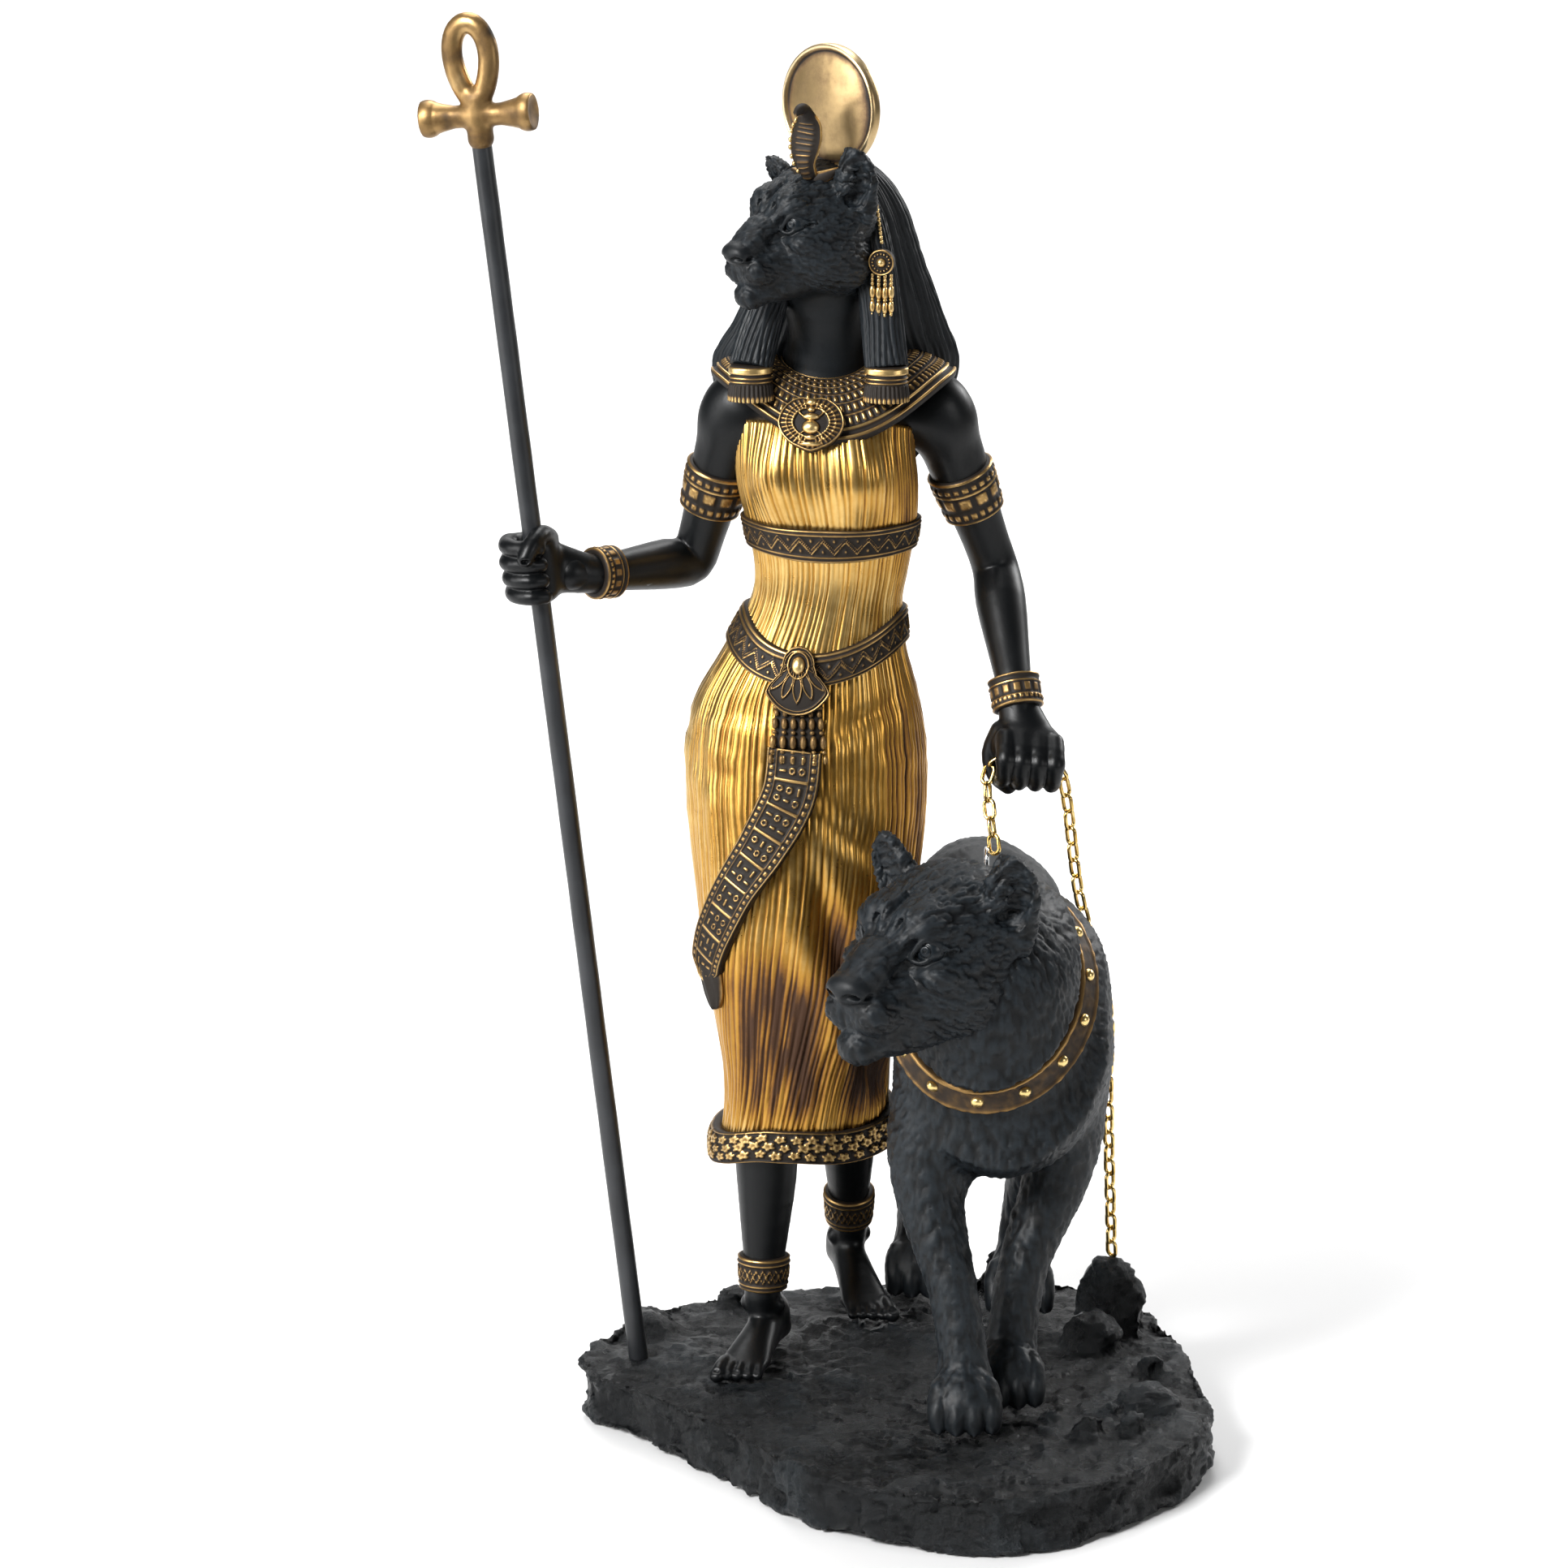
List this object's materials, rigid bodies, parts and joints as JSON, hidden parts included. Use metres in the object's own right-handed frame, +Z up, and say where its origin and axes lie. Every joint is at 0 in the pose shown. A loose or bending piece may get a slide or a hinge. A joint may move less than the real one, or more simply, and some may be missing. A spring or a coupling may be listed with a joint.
{
  "type": "lion-headed goddess figurine with lioness",
  "caption": "Painted resin figurine of a lion-headed goddess with staff and leashed lioness on a rock base, for display on a shelf.",
  "frame": {"origin": "on the underside of the base, at the middle of the whole outline seen from above", "axes": "+Z up, the goddess faces -Y, +X is her left, where the lioness walks"},
  "size_m": [0.159, 0.1372, 0.29],
  "materials": {
    "rock": "cast resin painted black, slightly wet-looking on the broken faces",
    "black_resin": "cast resin painted matte charcoal black",
    "rod_paint": "satin charcoal paint",
    "gold_paint": "cast resin with rubbed antique gold paint over dark brown",
    "chain_metal": "bright gold-coloured plating"
  },
  "bodies": {
    "root": {"rock_base": "rock", "goddess": "black_resin", "lioness": "black_resin", "staff_rod": "rod_paint", "looped_cross": "gold_paint", "leash_chain": "chain_metal"}
  },
  "joints": []
}
